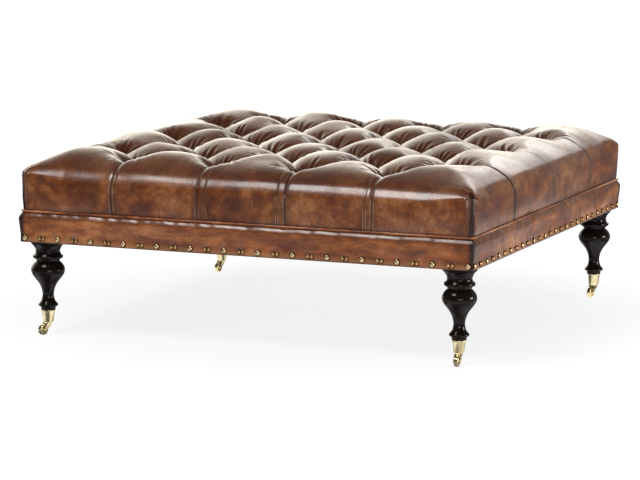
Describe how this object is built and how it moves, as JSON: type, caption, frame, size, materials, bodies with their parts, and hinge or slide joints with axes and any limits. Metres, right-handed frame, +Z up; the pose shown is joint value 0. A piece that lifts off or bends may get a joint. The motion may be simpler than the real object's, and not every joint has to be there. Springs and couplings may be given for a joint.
{
  "type": "ottoman",
  "caption": "Square low ottoman with a deep button-tufted leather top, nailed leather border band, turned dark legs and brass cup casters that swivel and roll.",
  "frame": {"origin": "middle of the footprint, on the floor that the wheels stand on", "axes": "+Z up; -Y is the front; +X is the viewer's right when facing the front"},
  "size_m": [1.2268, 1.2268, 0.488],
  "materials": {
    "hardwood": "sawn, unfinished",
    "plywood": "sanded",
    "foam": "open cell",
    "leather": "antiqued, waxed, mottled",
    "nail_brass": "antiqued",
    "brass": "polished",
    "steel": "zinc plated",
    "twine": "waxed",
    "fibreboard": "plain",
    "dust_cloth": "matt",
    "leg_wood": "dark, gloss"
  },
  "bodies": {
    "root": {"rail_front": "hardwood", "rail_right": "hardwood", "rail_back": "hardwood", "rail_left": "hardwood", "rail_dowels": "hardwood", "cross_member_left": "hardwood", "cross_member_right": "hardwood", "corner_block_front_left": "hardwood", "corner_block_front_right": "hardwood", "corner_block_back_left": "hardwood", "corner_block_back_right": "hardwood", "frame_screws": "steel", "deck_panel": "plywood", "deck_screws": "steel", "border_band_front": "leather", "border_band_right": "leather", "border_band_back": "leather", "border_band_left": "leather", "nails_front": "nail_brass", "nails_right": "nail_brass", "nails_back": "nail_brass", "nails_left": "nail_brass", "foam_pad": "foam", "tufted_cover": "leather", "tuft_buttons": "leather", "twine_washers": "fibreboard", "tufting_twines": "twine", "welt_piping": "leather", "dust_cover": "dust_cloth", "dust_cover_staples": "steel", "leg_front_left": "leg_wood", "leg_front_right": "leg_wood", "leg_back_left": "leg_wood", "leg_back_right": "leg_wood", "hanger_bolts": "steel", "leg_nuts": "steel", "caster_cup_front_left": "brass", "caster_cup_front_right": "brass", "caster_cup_back_left": "brass", "caster_cup_back_right": "brass", "cup_pins": "brass", "swivel_pins": "brass"},
    "fork_front_left": {"caster_fork_front_left": "brass", "caster_axle_front_left": "brass"},
    "wheel_front_left": {"caster_wheel_front_left": "brass"},
    "fork_front_right": {"caster_fork_front_right": "brass", "caster_axle_front_right": "brass"},
    "wheel_front_right": {"caster_wheel_front_right": "brass"},
    "fork_back_left": {"caster_fork_back_left": "brass", "caster_axle_back_left": "brass"},
    "wheel_back_left": {"caster_wheel_back_left": "brass"},
    "fork_back_right": {"caster_fork_back_right": "brass", "caster_axle_back_right": "brass"},
    "wheel_back_right": {"caster_wheel_back_right": "brass"}
  },
  "joints": [
    {"name": "caster_swivel_front_left", "type": "hinge", "parent": "root", "child": "fork_front_left", "pos_m": [-0.5584, -0.5584, 0.029], "axis": [0, 0, 1], "continuous": true},
    {"name": "caster_roll_front_left", "type": "hinge", "parent": "fork_front_left", "child": "wheel_front_left", "pos_m": [-0.56425, -0.57753, 0.014], "axis": [0.9563, -0.2924, 0], "continuous": true},
    {"name": "caster_swivel_front_right", "type": "hinge", "parent": "root", "child": "fork_front_right", "pos_m": [0.5584, -0.5584, 0.029], "axis": [0, 0, 1], "continuous": true},
    {"name": "caster_roll_front_right", "type": "hinge", "parent": "fork_front_right", "child": "wheel_front_right", "pos_m": [0.56049, -0.57829, 0.014], "axis": [0.9945, 0.1045, 0], "continuous": true},
    {"name": "caster_swivel_back_left", "type": "hinge", "parent": "root", "child": "fork_back_left", "pos_m": [-0.5584, 0.5584, 0.029], "axis": [0, 0, 1], "continuous": true},
    {"name": "caster_roll_back_left", "type": "hinge", "parent": "fork_back_left", "child": "wheel_back_left", "pos_m": [-0.56014, 0.53848, 0.014], "axis": [0.9962, -0.0872, 0], "continuous": true},
    {"name": "caster_swivel_back_right", "type": "hinge", "parent": "root", "child": "fork_back_right", "pos_m": [0.5584, 0.5584, 0.029], "axis": [0, 0, 1], "continuous": true},
    {"name": "caster_roll_back_right", "type": "hinge", "parent": "fork_back_right", "child": "wheel_back_right", "pos_m": [0.55596, 0.53855, 0.014], "axis": [0.9925, -0.1219, 0], "continuous": true}
  ]
}
